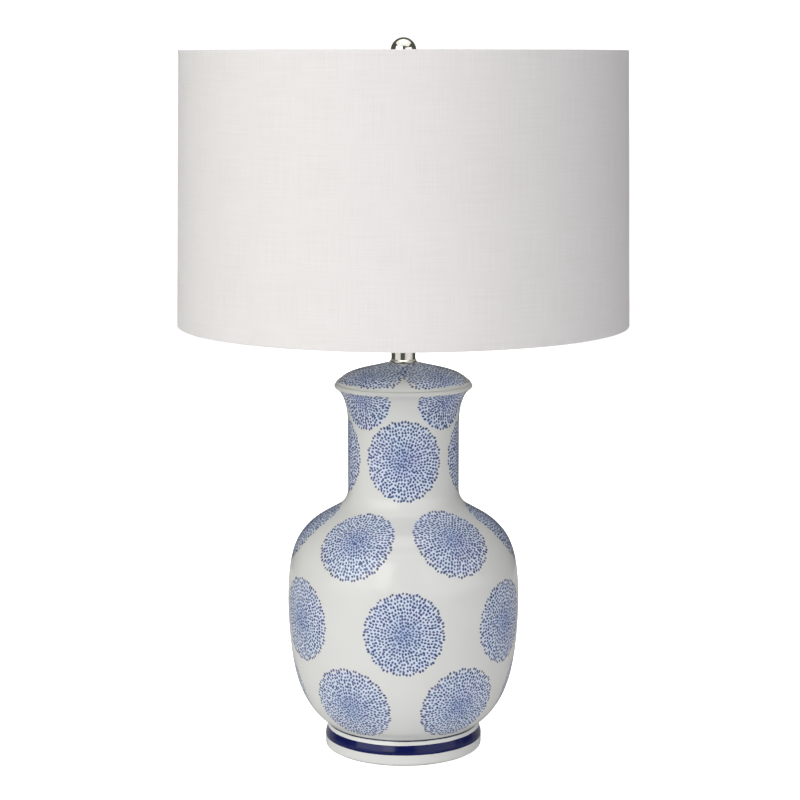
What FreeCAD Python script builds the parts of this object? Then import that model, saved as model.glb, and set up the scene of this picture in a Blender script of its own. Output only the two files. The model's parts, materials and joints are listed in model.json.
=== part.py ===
import FreeCAD, Part
import math
import os

# A table lamp on a ginger jar of glazed ceramic: jar, lid, metal neck, socket, bulb, harp and drum shade.
# Millimetres. +Z is up and the lamp's axis is Z. The origin is on the table, at the lamp's axis.
# The front, as photographed, faces -Y. The cord leaves through the back of the foot, at +Y.

V = FreeCAD.Vector
AXIS = V(0, 0, 1)

# ---- driving dimensions -------------------------------------------------------------------------

# clearances
running_gap = 0.08        # shaft in its bore, where one turns or slides on the other
thread_gap = 0.10         # plain cylinders that stand for a screw thread, radial
loose_gap = 0.30          # parts that pass each other
glue_gap = 0.05           # skins glued on each other
edge_round = 0.6          # rounding of small metal and plastic edges

# jar: foot
felt_thickness = 1.0
felt_margin = 0.8         # felt stays this far inside the foot's flat
foot_r = 72.0
foot_wall = 9.0
foot_edge_round = 2.5     # rounding of the lower outer edge
foot_inner_round = 1.0    # rounding of the lower inner edge
foot_recess_round = 3.0   # rounding where the hollow's wall meets its ceiling
foot_shoulder_z = 13.0    # above this the foot leans in
foot_shoulder_round = 12.0
foot_recess_top = 19.0    # ceiling of the hollow under the jar
crease_r = 68.8           # where the body springs from the foot
crease_z = 23.5
crease_angle = 41.0       # degrees above level, of the body where it leaves the foot

# jar: body, neck and lip
jar_wall = 6.0
belly_r = 105.9
belly_z = 143.7
neck_r = 50.5
neck_foot_z = 230.7       # where the shoulder's slope would meet the neck
neck_fillet = 20.0        # the hollow between shoulder and neck
shoulder_slope = 31.0     # degrees, of the shoulder beside the neck
neck_wall = 5.5
mouth_round = 1.2         # rounding of the mouth's edge
mouth_fall = 2.0          # the neck's inside starts to widen this far below the outside's hollow
flare_z = 300.0           # the neck starts to flare here
lip_r = 62.8
lip_z = 338.6             # flat top of the lip, the lid's seat
lip_round = 2.1
lip_start_angle = -50.0   # the flare runs into the lip's rounding here
rod_hole_gap = 0.5        # loose hole for the threaded rod in jar and lid

# lid
lid_edge_r = 61.2
lid_edge_round = 0.9
lid_edge_angle = 30.0     # the dome runs into the edge's rounding here
lid_rise = 19.2           # from seat to the flat that carries the neck
lid_flat_r = 12.6
lid_top_slope = 13.0      # degrees, of the dome beside the flat
lid_wall = 5.4
lid_under_fall = 6.6      # the underside falls this much from the rod to the spigot
spigot_gap = 1.0          # between lid spigot and jar mouth
spigot_wall = 4.5
spigot_depth = 12.0
spigot_round = 1.0

# cord bushing in the back of the foot
cord_z = 10.0
cord_bore_r = 3.5
bushing_r = 5.2
bushing_hole_gap = 0.15
bushing_flange_r = 7.4
bushing_flange = 1.6      # how far the flange stands out of the foot
bushing_inside = 1.5      # how far the sleeve stands into the hollow

# threaded rod and what clamps the jar
rod_r = 5.1
rod_bore_r = 3.2
rod_below_nut = 3.0
gasket_r = 24.0
gasket_thickness = 2.0
washer_r = 22.0
washer_thickness = 1.6
lock_washer_r = 9.4
lock_washer_thickness = 1.2
lock_washer_split = 1.4
nut_flats = 16.0
nut_height = 5.0

# neck of polished nickel
neck_gasket_r = 11.4
neck_gasket_thickness = 0.4
ring_r = 12.1
ring_height = 2.6
ring_round = 0.9
tube_r = 11.0
tube_wall = 1.0
tube_length = 31.0
tube_cap_r = 12.0
tube_cap_height = 2.5

# saddle that carries the harp
saddle_span = 60.0        # between the two arms' middles
saddle_thickness = 1.6
saddle_width = 12.0
saddle_bend = 9.0         # inside radius of the two bends
saddle_shoulder_rise = 9.2
saddle_tab_width = 4.4
saddle_tab_rise = 9.0
saddle_nut_flats = 14.0
saddle_nut_height = 3.5

# harp
harp_wire_r = 2.2
harp_foot_r = 3.05
harp_foot_length = 13.0
harp_foot_above_shoulder = 1.3
harp_slot_depth = 8.4
harp_straight = 41.0      # straight leg, over which the ferrule slides
harp_rise = 213.6         # from the saddle's seat to the middle of the wire at the top
harp_out_radius = 70.0
harp_out_angle = 24.0
harp_in_angle = 12.0
harp_flat_half = 9.0      # half of the straight stretch at the top
harp_pad_r = 8.0
ferrule_wall = 0.9
ferrule_length = 16.5
ferrule_round = 0.4
ferrule_above_shoulder = 0.4
stud_shank_r = 3.2
stud_head_r = 5.0
stud_head = 1.5
stud_seat_r = 7.0
stud_seat = 2.0
stud_play = 0.2
stud_thread_r = 3.1
stud_thread_length = 11.5

# socket
cap_collar_r = 7.8
cap_collar_height = 5.3
cap_r = 17.4
cap_wall = 0.8
cap_dome_rise = 6.6
cap_ledge_r = 13.0
cap_skirt = 7.7
cap_above_nut = 0.5
set_screw_r = 1.5
shell_gap = 0.2
shell_wall = 0.6
shell_height = 45.5
shell_bead = 0.7
socket_liner_wall = 0.7
socket_body_r = 14.4
socket_body_height = 19.5
terminal_flat = 11.4
terminal_height = 12.0
terminal_screw_r = 2.6
terminal_head = 1.9
terminal_shank_r = 1.4
terminal_shank = 5.0
screw_shell_height = 24.0
screw_shell_wall = 0.45
contact_length = 14.0
contact_width = 5.0
contact_thickness = 0.6
contact_tongue_r = 3.0
contact_tongue = 0.5

# switch on the socket's front
switch_rise = 10.0        # above the socket body's foot
switch_shaft_r = 2.0
switch_shaft_start = 6.0
switch_shaft_end = 27.0
switch_hole_r = 3.0
knob_start = 19.5
knob_length = 12.0
knob_r = 5.4
knob_round = 1.2
knob_grooves = 14
knob_groove_r = 0.55

# bulb, medium screw
bulb_r = 30.2
bulb_length = 107.5       # from contact to crown
bulb_glass_wall = 1.0
bulb_neck_r = 13.2
bulb_contact_r = 4.6
bulb_contact_height = 2.0
bulb_insulator_rise = 3.6
bulb_base_height = 20.0
thread_r = 13.05          # crest of the bulb's thread
thread_depth = 0.75
thread_pitch = 3.629
thread_turns = 5

# shade
shade_bottom_z = 393.0
shade_height = 243.5
shade_bottom_r = 203.2
shade_taper = 4.3         # how much smaller the upper edge's radius is
linen_thickness = 0.6
liner_thickness = 0.5
hem_depth = 14.0
ring_wire_r = 1.6
arm_wire_r = 1.5
arm_count = 3
arm_first_angle = 90.0
arm_flat_end = 30.0       # the arms lie level out to this radius
arm_bend = 40.0
arm_slit_gap = 0.2
hub_r = 12.5
hub_thickness = 2.0
hub_bore_gap = 0.4

# finial
finial_ball_r = 11.4
finial_rise = 33.7        # from hub to the ball's crown
finial_flange_r = 7.6
finial_flange = 2.0
finial_stem_r = 5.0
finial_stem = 12.5
finial_collar_r = 7.0
finial_waist_r = 6.2
finial_collar = 2.2

# ---- drawing helpers ----------------------------------------------------------------------------


def spot(r, z):
    """A point of an outline, at radius r and height z."""
    return V(r, 0, z)


def chain(corners):
    """Edges through corners (r, z) or (r, z, rounding), from the first corner to the last."""
    points = [spot(corner[0], corner[1]) for corner in corners]
    edges = []
    here = points[0]
    for i in range(1, len(points)):
        rounding = corners[i][2] if len(corners[i]) > 2 else 0
        if rounding == 0 or i == len(points) - 1:
            edges.append(Part.LineSegment(here, points[i]).toShape())
            here = points[i]
            continue
        back = (points[i - 1] - points[i]).normalize()
        onward = (points[i + 1] - points[i]).normalize()
        half_angle = back.getAngle(onward) / 2
        reach = rounding / math.tan(half_angle)
        bisector = (back + onward).normalize()
        entry = points[i] + back * reach
        leave = points[i] + onward * reach
        middle = points[i] + bisector * (rounding / math.sin(half_angle) - rounding)
        if here.distanceToPoint(entry) > 1e-6:
            edges.append(Part.LineSegment(here, entry).toShape())
        edges.append(Part.Arc(entry, middle, leave).toShape())
        here = leave
    return edges


def arc_between(centre, radius, start_angle, end_angle):
    """An arc in the outline plane. Angles are degrees from +X towards +Z."""
    points = []
    for angle in (start_angle, (start_angle + end_angle) / 2, end_angle):
        turn = math.radians(angle)
        points.append(centre + spot(radius * math.cos(turn), radius * math.sin(turn)))
    return Part.Arc(*points).toShape()


def closed(corners):
    """A closed outline: the first corner is repeated at the end."""
    return chain(corners + [corners[0][:2]])


def curve(points, start_way, end_way):
    """One smooth edge through points (r, z), with its direction at each end."""
    spots = [spot(*point) for point in points]
    along = [0.0]
    for i in range(1, len(spots)):
        along.append(along[-1] + math.sqrt(spots[i].distanceToPoint(spots[i - 1])))
    line = Part.BSplineCurve()
    line.interpolate(Points=spots, Parameters=along,
                     InitialTangent=spot(*start_way), FinalTangent=spot(*end_way))
    return line.toShape()


def inset(edge, wall, stations):
    """The smooth edge that runs a wall's thickness to the left of another one, end to end."""
    first, last = edge.ParameterRange
    moved = []
    for i in range(stations + 1):
        along = first + (last - first) * i / stations
        way = edge.tangentAt(along)
        point = edge.valueAt(along) + V(-way.z, 0, way.x) * wall
        moved.append((point.x, point.z))
    start, end = edge.tangentAt(first), edge.tangentAt(last)
    return curve(moved, (start.x, start.z), (end.x, end.z))


def turned(edges):
    """The solid that a closed outline makes when it is turned about the lamp's axis."""
    face = Part.Face(Part.Wire(edges))
    return face.revolve(V(0, 0, 0), AXIS, 360)


def tube(outer_r, inner_r, z, height):
    """A plain ring or tube."""
    bar = Part.makeCylinder(outer_r, height, V(0, 0, z))
    return bar.cut(Part.makeCylinder(inner_r, height, V(0, 0, z)))


def rod_along(start, way, radius, length):
    """A round bar from a point, along a direction."""
    return Part.makeCylinder(radius, length, start, way)


def hexagon(flats, z, height, bore_r):
    """A hexagon nut with its lower face at z."""
    corner_r = flats / math.sqrt(3)
    points = []
    for i in range(7):
        turn = math.radians(60 * i)
        points.append(V(corner_r * math.cos(turn), corner_r * math.sin(turn), z))
    nut = Part.Face(Part.makePolygon(points)).extrude(V(0, 0, height))
    chamfer = flats * 0.08
    bevel = turned(closed([(0, z), (flats / 2, z), (corner_r, z + chamfer),
                           (corner_r, z + height - chamfer), (flats / 2, z + height), (0, z + height)]))
    return nut.common(bevel).cut(Part.makeCylinder(bore_r, height, V(0, 0, z)))


def between(start, end, shares):
    """Points whose radius and height lie the given shares of the way from start to end."""
    width, height = end[0] - start[0], end[1] - start[1]
    return [(start[0] + width * out, start[1] + height * up) for out, up in shares]


def mirrored(shape):
    """The copy on the lamp's other side, at the opposite X."""
    return shape.mirror(V(0, 0, 0), V(1, 0, 0))


def wire_along(edges, radius, start, way):
    """A round wire that follows edges, from a point and in a direction."""
    section = Part.Wire(Part.makeCircle(radius, start, way))
    return Part.Wire(edges).makePipeShell([section], True, False)


# ---- jar, lid and foot --------------------------------------------------------------------------

rod_hole_r = rod_r + rod_hole_gap
foot_inner_r = foot_r - foot_wall
mouth_r = neck_r - neck_wall


def heading(angle):
    """The direction (r, z) at an angle in degrees from outwards towards up."""
    return math.cos(math.radians(angle)), math.sin(math.radians(angle))


def body_outline():
    """The body's outer curve, from the crease over the foot up the belly to the hollow under the neck."""
    reach = neck_fillet * math.tan(math.radians(90 - shoulder_slope) / 2)
    slope_r, slope_z = heading(180 - shoulder_slope)
    hollow = (neck_r - reach * slope_r, neck_foot_z - reach * slope_z)
    crease, belly = (crease_r, crease_z), (belly_r, belly_z)
    lower = between(crease, belly, [(0.270, 0.070), (0.527, 0.173), (0.671, 0.259), (0.774, 0.347),
                                    (0.848, 0.438), (0.941, 0.624), (0.987, 0.812)])
    upper = between(belly, hollow, [(0.029, 0.272), (0.066, 0.406), (0.144, 0.558), (0.265, 0.687),
                                    (0.450, 0.804), (0.671, 0.894)])
    return curve([crease] + lower + [belly] + upper + [hollow], heading(crease_angle), (slope_r, slope_z))


def neck_hollow():
    """The concave arc from the shoulder's slope to the upright neck."""
    reach = neck_fillet * math.tan(math.radians(90 - shoulder_slope) / 2)
    centre = spot(neck_r + neck_fillet, neck_foot_z + reach)
    return arc_between(centre, neck_fillet, 270 - shoulder_slope, 180)


def lip_outline():
    """The lip's rounding, from the end of the flare to its flat top."""
    return arc_between(spot(lip_r - lip_round, lip_z - lip_round), lip_round, lip_start_angle, 90)


def flare_outline(lip):
    """The neck's flare, up to the lip's rounding."""
    end = lip.valueAt(lip.ParameterRange[0])
    start, end = (neck_r, flare_z), (end.x, end.z)
    points = between(start, end, [(0.052, 0.327), (0.19, 0.57), (0.49, 0.828), (0.77, 0.94)])
    return curve([start] + points + [end], heading(90), heading(90 + lip_start_angle))


def jar_body():
    body = body_outline()
    hollow = neck_hollow()
    lip = lip_outline()
    neck_start = hollow.valueAt(hollow.ParameterRange[1])
    inner_body = inset(body, jar_wall, 18)
    inner_low = inner_body.valueAt(inner_body.ParameterRange[0])
    inner_high = inner_body.valueAt(inner_body.ParameterRange[1])
    foot = chain([(rod_hole_r, foot_recess_top), (foot_inner_r, foot_recess_top, foot_recess_round),
                  (foot_inner_r, felt_thickness, foot_inner_round),
                  (foot_r, felt_thickness, foot_edge_round),
                  (foot_r, foot_shoulder_z, foot_shoulder_round), (crease_r, crease_z)])
    neck = Part.LineSegment(neck_start, spot(neck_r, flare_z)).toShape()
    inside = chain([(lip_r - lip_round, lip_z), (mouth_r, lip_z, mouth_round),
                    (mouth_r, neck_start.z - mouth_fall, neck_fillet), (inner_high.x, inner_high.z)])
    floor = chain([(inner_low.x, inner_low.z), (rod_hole_r, inner_low.z), (rod_hole_r, foot_recess_top)])
    jar = turned(foot + [body, hollow, neck, flare_outline(lip), lip] + inside + [inner_body] + floor)
    hole_start = V(0, foot_inner_r - foot_wall / 2, cord_z)
    return jar.cut(rod_along(hole_start, V(0, 1, 0), bushing_r + bushing_hole_gap, 2 * foot_wall))


def jar_lid():
    """A dome with a rounded edge on the lip and a spigot in the jar's mouth."""
    top = lip_z + lid_rise
    edge = arc_between(spot(lid_edge_r - lid_edge_round, lip_z + lid_edge_round), lid_edge_round,
                       lid_edge_angle, -90)
    start = edge.valueAt(edge.ParameterRange[0])
    flank = between((lid_flat_r, top), (start.x, start.z), [(0.325, 0.225), (0.58, 0.395), (0.772, 0.57),
                                                            (0.888, 0.755), (0.965, 0.92)])
    dome = curve([(lid_flat_r, top)] + flank + [(start.x, start.z)],
                 heading(-lid_top_slope), heading(lid_edge_angle - 90))
    spigot_r = mouth_r - spigot_gap
    spigot_inner_r = spigot_r - spigot_wall
    under = chain([(lid_edge_r - lid_edge_round, lip_z), (spigot_r, lip_z),
                   (spigot_r, lip_z - spigot_depth, spigot_round),
                   (spigot_inner_r, lip_z - spigot_depth, spigot_round),
                   (spigot_inner_r, top - lid_wall - lid_under_fall, 2 * spigot_round),
                   (rod_hole_r, top - lid_wall), (rod_hole_r, top), (lid_flat_r, top)])
    return turned([dome, edge] + under)


def base_felt():
    outer = foot_r - foot_edge_round - felt_margin
    return tube(outer, foot_inner_r + foot_inner_round + felt_margin, 0, felt_thickness)


def cord_bushing(jar):
    """A sleeve with a flange that lies on the foot's outside."""
    inner_end = foot_inner_r - bushing_inside
    outer_end = foot_r + bushing_flange
    profile = turned(closed([(cord_bore_r, inner_end), (bushing_r, inner_end), (bushing_r, foot_r - 4.0),
                             (bushing_flange_r, foot_r - 4.0), (bushing_flange_r, outer_end, 1.0),
                             (cord_bore_r, outer_end, 0.8)]))
    profile.rotate(V(0, 0, 0), V(1, 0, 0), -90)
    profile.translate(V(0, 0, cord_z))
    return profile.cut(jar)


# ---- threaded rod and clamp ---------------------------------------------------------------------

gasket_z = foot_recess_top - gasket_thickness
washer_z = gasket_z - washer_thickness
lock_washer_z = washer_z - lock_washer_thickness
nut_z = lock_washer_z - nut_height
rod_bottom = nut_z - rod_below_nut
thread_bore_r = rod_r + thread_gap

lid_top = lip_z + lid_rise
ring_z = lid_top + neck_gasket_thickness
tube_z = ring_z + ring_height
tube_cap_z = tube_z + tube_length
saddle_z = tube_cap_z + tube_cap_height
saddle_nut_z = saddle_z + saddle_thickness
cap_z = saddle_nut_z + saddle_nut_height + cap_above_nut
rod_top = cap_z + cap_collar_height + 1.5


def lock_washer():
    ring = tube(lock_washer_r, thread_bore_r + 0.1, lock_washer_z, lock_washer_thickness)
    split = Part.makeBox(lock_washer_r, lock_washer_split, lock_washer_thickness,
                         V(0, -lock_washer_split / 2, lock_washer_z))
    return ring.cut(split)


def threaded_rod():
    return tube(rod_r, rod_bore_r, rod_bottom, rod_top - rod_bottom)


# ---- neck ---------------------------------------------------------------------------------------


def neck_ring():
    return turned(closed([(thread_bore_r, ring_z), (ring_r, ring_z, 0.5),
                          (ring_r, ring_z + ring_height / 2, ring_round),
                          (tube_r + 0.1, tube_z), (thread_bore_r, tube_z)]))


def tube_cap():
    top = tube_cap_z + tube_cap_height
    return turned(closed([(thread_bore_r, tube_cap_z), (tube_cap_r, tube_cap_z, 0.6),
                          (tube_cap_r, top - 1.0, 0.8), (tube_r - 1.0, top, 0.8), (thread_bore_r, top)]))


# ---- harp and its saddle ------------------------------------------------------------------------

arm_x = saddle_span / 2
shoulder_z = saddle_z + saddle_shoulder_rise
ferrule_z = shoulder_z + ferrule_above_shoulder
harp_foot_z = shoulder_z + harp_foot_above_shoulder
harp_top_z = saddle_z + harp_rise
pad_low = harp_top_z - harp_wire_r
pad_high = harp_top_z + harp_wire_r


def harp_saddle():
    """A bent strip with an arm on each side. Each arm ends in a narrow tab."""
    half = saddle_thickness / 2
    tab_top = shoulder_z + saddle_tab_rise
    outer, inner = arm_x + half, arm_x - half
    outer_bend = saddle_bend + saddle_thickness
    strip = closed([(-outer, tab_top), (-outer, saddle_z, outer_bend), (outer, saddle_z, outer_bend),
                    (outer, tab_top), (inner, tab_top), (inner, saddle_nut_z, saddle_bend),
                    (-inner, saddle_nut_z, saddle_bend), (-inner, tab_top)])
    saddle = Part.Face(Part.Wire(strip)).extrude(V(0, saddle_width, 0))
    saddle.translate(V(0, -saddle_width / 2, 0))
    waste = (saddle_width - saddle_tab_width) / 2
    for low_y in (-saddle_width / 2, saddle_width / 2 - waste):
        saddle = saddle.cut(Part.makeBox(2 * outer, waste, tab_top, V(-outer, low_y, shoulder_z)))
    return saddle.cut(Part.makeCylinder(thread_bore_r, saddle_thickness, V(0, 0, saddle_z)))


def harp_leg_path():
    """The middle line of the harp's +X half, from the leg's foot to the middle of the top."""
    out, back = math.radians(harp_out_angle), math.radians(harp_in_angle)
    foot_top = spot(arm_x, harp_foot_z + harp_foot_length - 1.0)
    bend = spot(arm_x, harp_foot_z + harp_straight)
    first_centre = bend + spot(harp_out_radius, 0)
    knee = first_centre + spot(-harp_out_radius * math.cos(out), harp_out_radius * math.sin(out))
    # The bow's radius and the corner's radius bring the wire level at the harp's height.
    reach = (knee.x - harp_flat_half) / math.cos(back)
    gain = (math.cos(back) - math.cos(out)) / math.cos(back)
    level = 1 - math.sin(back)
    bow = (harp_top_z - knee.z - reach * level) / (math.sin(out) + math.sin(back) + gain * level)
    corner = reach + gain * bow
    bow_centre = knee + spot(-bow * math.cos(out), bow * math.sin(out))
    corner_centre = spot(harp_flat_half, harp_top_z - corner)
    return [Part.LineSegment(foot_top, bend).toShape(),
            arc_between(first_centre, harp_out_radius, 180, 180 - harp_out_angle),
            arc_between(bow_centre, bow, -harp_out_angle, harp_in_angle),
            arc_between(corner_centre, corner, harp_in_angle, 90),
            Part.LineSegment(spot(harp_flat_half, harp_top_z), spot(0, harp_top_z)).toShape()]


def harp_bow():
    """The bent wire, with a slotted foot on each leg and a flat pad with a hole at the top."""
    edges = harp_leg_path()
    start = edges[0].Vertexes[0].Point
    half = wire_along(edges, harp_wire_r, start, AXIS)
    foot = Part.makeCylinder(harp_foot_r, harp_foot_length, V(arm_x, 0, harp_foot_z))
    slot = Part.makeBox(saddle_thickness + 0.4, 2 * harp_foot_r, harp_slot_depth,
                        V(arm_x - saddle_thickness / 2 - 0.2, -harp_foot_r, harp_foot_z))
    half = half.fuse(foot.cut(slot))
    pad = turned(closed([(0, pad_low), (harp_pad_r, pad_low, edge_round),
                         (harp_pad_r, pad_high, edge_round), (0, pad_high)]))
    hole = Part.makeCylinder(stud_shank_r + running_gap, 2 * harp_wire_r, V(0, 0, pad_low))
    return half.fuse([mirrored(half), pad]).cut(hole).removeSplitter()


def harp_ferrule():
    inner = harp_foot_r + running_gap
    outer = inner + ferrule_wall
    top = ferrule_z + ferrule_length
    sleeve = turned(closed([(inner, ferrule_z), (outer, ferrule_z, ferrule_round),
                            (outer, top, ferrule_round), (inner, top)]))
    sleeve.translate(V(arm_x, 0, 0))
    return sleeve


hub_z = pad_high + stud_play + stud_seat


def harp_stud():
    """A riveted stud that turns in the pad, with a seat for the shade and a thread for the finial."""
    low = pad_low - stud_play
    seat_z = pad_high + stud_play
    top = hub_z + stud_thread_length
    return turned(closed([(0, low - stud_head), (stud_head_r, low - stud_head, 0.8), (stud_head_r, low),
                          (stud_shank_r, low), (stud_shank_r, seat_z), (stud_seat_r, seat_z),
                          (stud_seat_r, hub_z), (stud_thread_r, hub_z), (stud_thread_r, top - 0.8),
                          (stud_thread_r - 0.8, top), (0, top)]))


# ---- socket and switch --------------------------------------------------------------------------

ledge_z = cap_z + cap_collar_height + cap_dome_rise
shell_r = cap_r - cap_wall - shell_gap
shell_inner_r = shell_r - shell_wall
socket_liner_r = shell_inner_r - loose_gap
body_top_z = ledge_z + socket_body_height
switch_z = ledge_z + switch_rise
screw_shell_r = thread_r + loose_gap
contact_top_z = body_top_z + contact_thickness + contact_tongue


def socket_cap():
    """A collar on the rod, a dome and a skirt round the socket. The socket stands on the ledge inside."""
    dome_z = cap_z + cap_collar_height
    bore_floor = dome_z + 2.0
    cap = turned(closed([(thread_bore_r, cap_z), (cap_collar_r, cap_z, 0.6), (cap_collar_r, dome_z, 1.5),
                         (cap_r, ledge_z - 1.2, 5.0), (cap_r, ledge_z + cap_skirt),
                         (cap_r - cap_wall, ledge_z + cap_skirt), (cap_r - cap_wall, ledge_z),
                         (cap_ledge_r, ledge_z), (cap_ledge_r, ledge_z - 1.0),
                         (cap_collar_r + 1.2, bore_floor), (thread_bore_r, bore_floor)]))
    start = V(rod_r, 0, cap_z + cap_collar_height / 2)
    return cap.cut(rod_along(start, V(1, 0, 0), set_screw_r + glue_gap, cap_collar_r))


def socket_set_screw():
    start = V(rod_r + glue_gap, 0, cap_z + cap_collar_height / 2)
    length = cap_collar_r - rod_r + 1.6
    screw = rod_along(start, V(1, 0, 0), set_screw_r, length)
    slot = Part.makeBox(1.0, 2 * set_screw_r, 0.6, start + V(length - 1.0, -set_screw_r, -0.3))
    return screw.cut(slot)


def socket_shell():
    """The outer shell, with a rolled bead at its mouth and a hole for the switch."""
    top = ledge_z + shell_height
    bead = shell_r + shell_bead
    shell = turned(closed([(shell_inner_r, ledge_z), (shell_r, ledge_z), (shell_r, top - 4.0, 1.0),
                           (bead, top - 3.0, 0.7), (bead, top - 1.0, 0.7), (shell_r, top, 0.5),
                           (shell_inner_r, top)]))
    return shell.cut(rod_along(V(0, 0, switch_z), V(0, -1, 0), switch_hole_r, 2 * shell_r))


def socket_liner():
    liner = tube(socket_liner_r, socket_liner_r - socket_liner_wall, ledge_z, shell_height - 1.0)
    return liner.cut(rod_along(V(0, 0, switch_z), V(0, -1, 0), switch_hole_r, 2 * shell_r))


def socket_body():
    """The moulded inner body, with a flat on each side for a terminal screw and a bore for the switch."""
    body = turned(closed([(0, ledge_z), (socket_body_r, ledge_z), (socket_body_r, body_top_z, 0.8),
                          (0, body_top_z)]))
    for side in (1, -1):
        box_x = terminal_flat if side > 0 else -socket_body_r
        low_z = ledge_z + (socket_body_height - terminal_height) / 2
        body = body.cut(Part.makeBox(socket_body_r - terminal_flat, 2 * socket_body_r, terminal_height,
                                     V(box_x, -socket_body_r, low_z)))
        screw_foot = V(side * (terminal_flat - terminal_shank), 0, ledge_z + socket_body_height / 2)
        body = body.cut(rod_along(screw_foot, V(side, 0, 0), terminal_shank_r + glue_gap, socket_body_r))
    bore_start = V(0, -switch_shaft_start + loose_gap, switch_z)
    return body.cut(rod_along(bore_start, V(0, -1, 0), switch_shaft_r + running_gap, socket_body_r))


def terminal_screws():
    """One screw on each side, with a slotted head. They are two separate solids."""
    middle_z = ledge_z + socket_body_height / 2
    screws = []
    for side in (1, -1):
        way = V(side, 0, 0)
        foot = V(side * (terminal_flat - terminal_shank), 0, middle_z)
        screw = rod_along(foot, way, terminal_shank_r, terminal_shank)
        head = rod_along(V(side * terminal_flat, 0, middle_z), way, terminal_screw_r, terminal_head)
        slot_x = terminal_flat + terminal_head - 0.7
        slot = Part.makeBox(0.7, 2 * terminal_screw_r, 0.7,
                            V(slot_x if side > 0 else -slot_x - 0.7, -terminal_screw_r, middle_z - 0.35))
        screws.append(screw.fuse(head).cut(slot))
    return Part.makeCompound(screws)


def thread_outline(inner_r, z, depth):
    """Corners of rounded ridges, one pitch apart, upwards from a height."""
    corners = []
    for i in range(thread_turns):
        for out, share in ((0, 0.30), (depth, 0.55), (depth, 0.75), (0, 1.0)):
            corners.append((inner_r + out, z + (i + share) * thread_pitch, 0.5))
    return corners


def screw_shell():
    """The thin threaded shell that takes the bulb. Its ridges stand outwards."""
    top = body_top_z + screw_shell_height
    outer = screw_shell_r + screw_shell_wall
    ridges = thread_outline(outer, body_top_z + 3.0, 0.35)
    return turned(closed([(screw_shell_r, body_top_z), (outer, body_top_z)] + ridges
                         + [(outer, top), (screw_shell_r, top)]))


def centre_contact():
    strip = Part.makeBox(contact_length, contact_width, contact_thickness,
                         V(-contact_length / 2, -contact_width / 2, body_top_z))
    tongue = Part.makeCylinder(contact_tongue_r, contact_thickness + contact_tongue, V(0, 0, body_top_z))
    band = Part.makeBox(contact_length, contact_width, socket_body_height,
                        V(-contact_length / 2, -contact_width / 2, body_top_z))
    return strip.fuse(tongue.common(band))


def switch_shaft():
    return rod_along(V(0, -switch_shaft_start, switch_z), V(0, -1, 0), switch_shaft_r,
                     switch_shaft_end - switch_shaft_start)


def switch_knob():
    """A small grooved knob on the shaft, with a blind bore."""
    floor = switch_shaft_end + glue_gap
    end = knob_start + knob_length
    knob = turned(closed([(switch_shaft_r + glue_gap, knob_start), (knob_r - 0.6, knob_start, 0.5),
                          (knob_r, knob_start + 2.0, 1.0), (knob_r, end, knob_round),
                          (0, end), (0, floor), (switch_shaft_r + glue_gap, floor)]))
    for i in range(knob_grooves):
        turn = 2 * math.pi * i / knob_grooves
        knob = knob.cut(rod_along(V(knob_r * math.cos(turn), knob_r * math.sin(turn), knob_start), AXIS,
                                  knob_groove_r, knob_length))
    knob.rotate(V(0, 0, 0), V(1, 0, 0), 90)
    knob.translate(V(0, 0, switch_z))
    return knob


# ---- bulb ---------------------------------------------------------------------------------------

bulb_z = contact_top_z + glue_gap
insulator_z = bulb_z + bulb_contact_height
bulb_base_z = insulator_z + bulb_insulator_rise
glass_z = bulb_base_z + bulb_base_height
crown_z = bulb_z + bulb_length


def bulb_contact():
    return turned(closed([(0, bulb_z), (bulb_contact_r, bulb_z, 1.2), (bulb_contact_r, insulator_z),
                          (0, insulator_z)]))


def bulb_insulator():
    return turned(closed([(0, insulator_z), (bulb_contact_r + 1.6, insulator_z, 0.5),
                          (thread_r - thread_depth - 0.4, bulb_base_z), (0, bulb_base_z)]))


def bulb_screw_base():
    """The bulb's threaded metal base. Its ridges are rings one pitch apart, inside the socket's shell."""
    root = thread_r - thread_depth
    ridges = thread_outline(root, bulb_base_z, thread_depth)
    return turned(closed([(0, bulb_base_z), (root, bulb_base_z)] + ridges
                         + [(root, glass_z), (0, glass_z)]))


def bulb_glass():
    """A pear-shaped shell: a neck that opens into a ball."""
    ball_z = crown_z - bulb_r
    neck_top = (bulb_neck_r, glass_z + 6.0)
    flank = between(neck_top, (bulb_r, ball_z), [(0.10, 0.16), (0.34, 0.38), (0.70, 0.645), (0.93, 0.85)])
    diagonal = bulb_r * math.sqrt(0.5)
    crown_points = [(bulb_r, ball_z), (diagonal, ball_z + diagonal), (0, crown_z)]
    outer = curve([(bulb_neck_r, glass_z), neck_top] + flank + crown_points, (0, 1), (-1, 0))
    inner = inset(outer, bulb_glass_wall, 14)
    last = inner.valueAt(inner.ParameterRange[1])
    first = inner.valueAt(inner.ParameterRange[0])
    crown = Part.LineSegment(spot(0, crown_z), last).toShape()
    mouth = Part.LineSegment(first, spot(bulb_neck_r, glass_z)).toShape()
    return turned([outer, crown, inner, mouth])


# ---- shade --------------------------------------------------------------------------------------

shade_top_z = shade_bottom_z + shade_height
shade_lean = shade_taper / shade_height
liner_in = linen_thickness + glue_gap
ring_in = liner_in + liner_thickness + glue_gap + ring_wire_r
ring_down = linen_thickness + glue_gap + ring_wire_r


def shade_spot(inwards, down, at_top):
    """A point measured inwards from the linen's face and away from the shade's upper or lower edge."""
    height = shade_top_z - down if at_top else shade_bottom_z + down
    face_r = shade_bottom_r - (height - shade_bottom_z) * shade_lean
    return face_r - inwards, height


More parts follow.
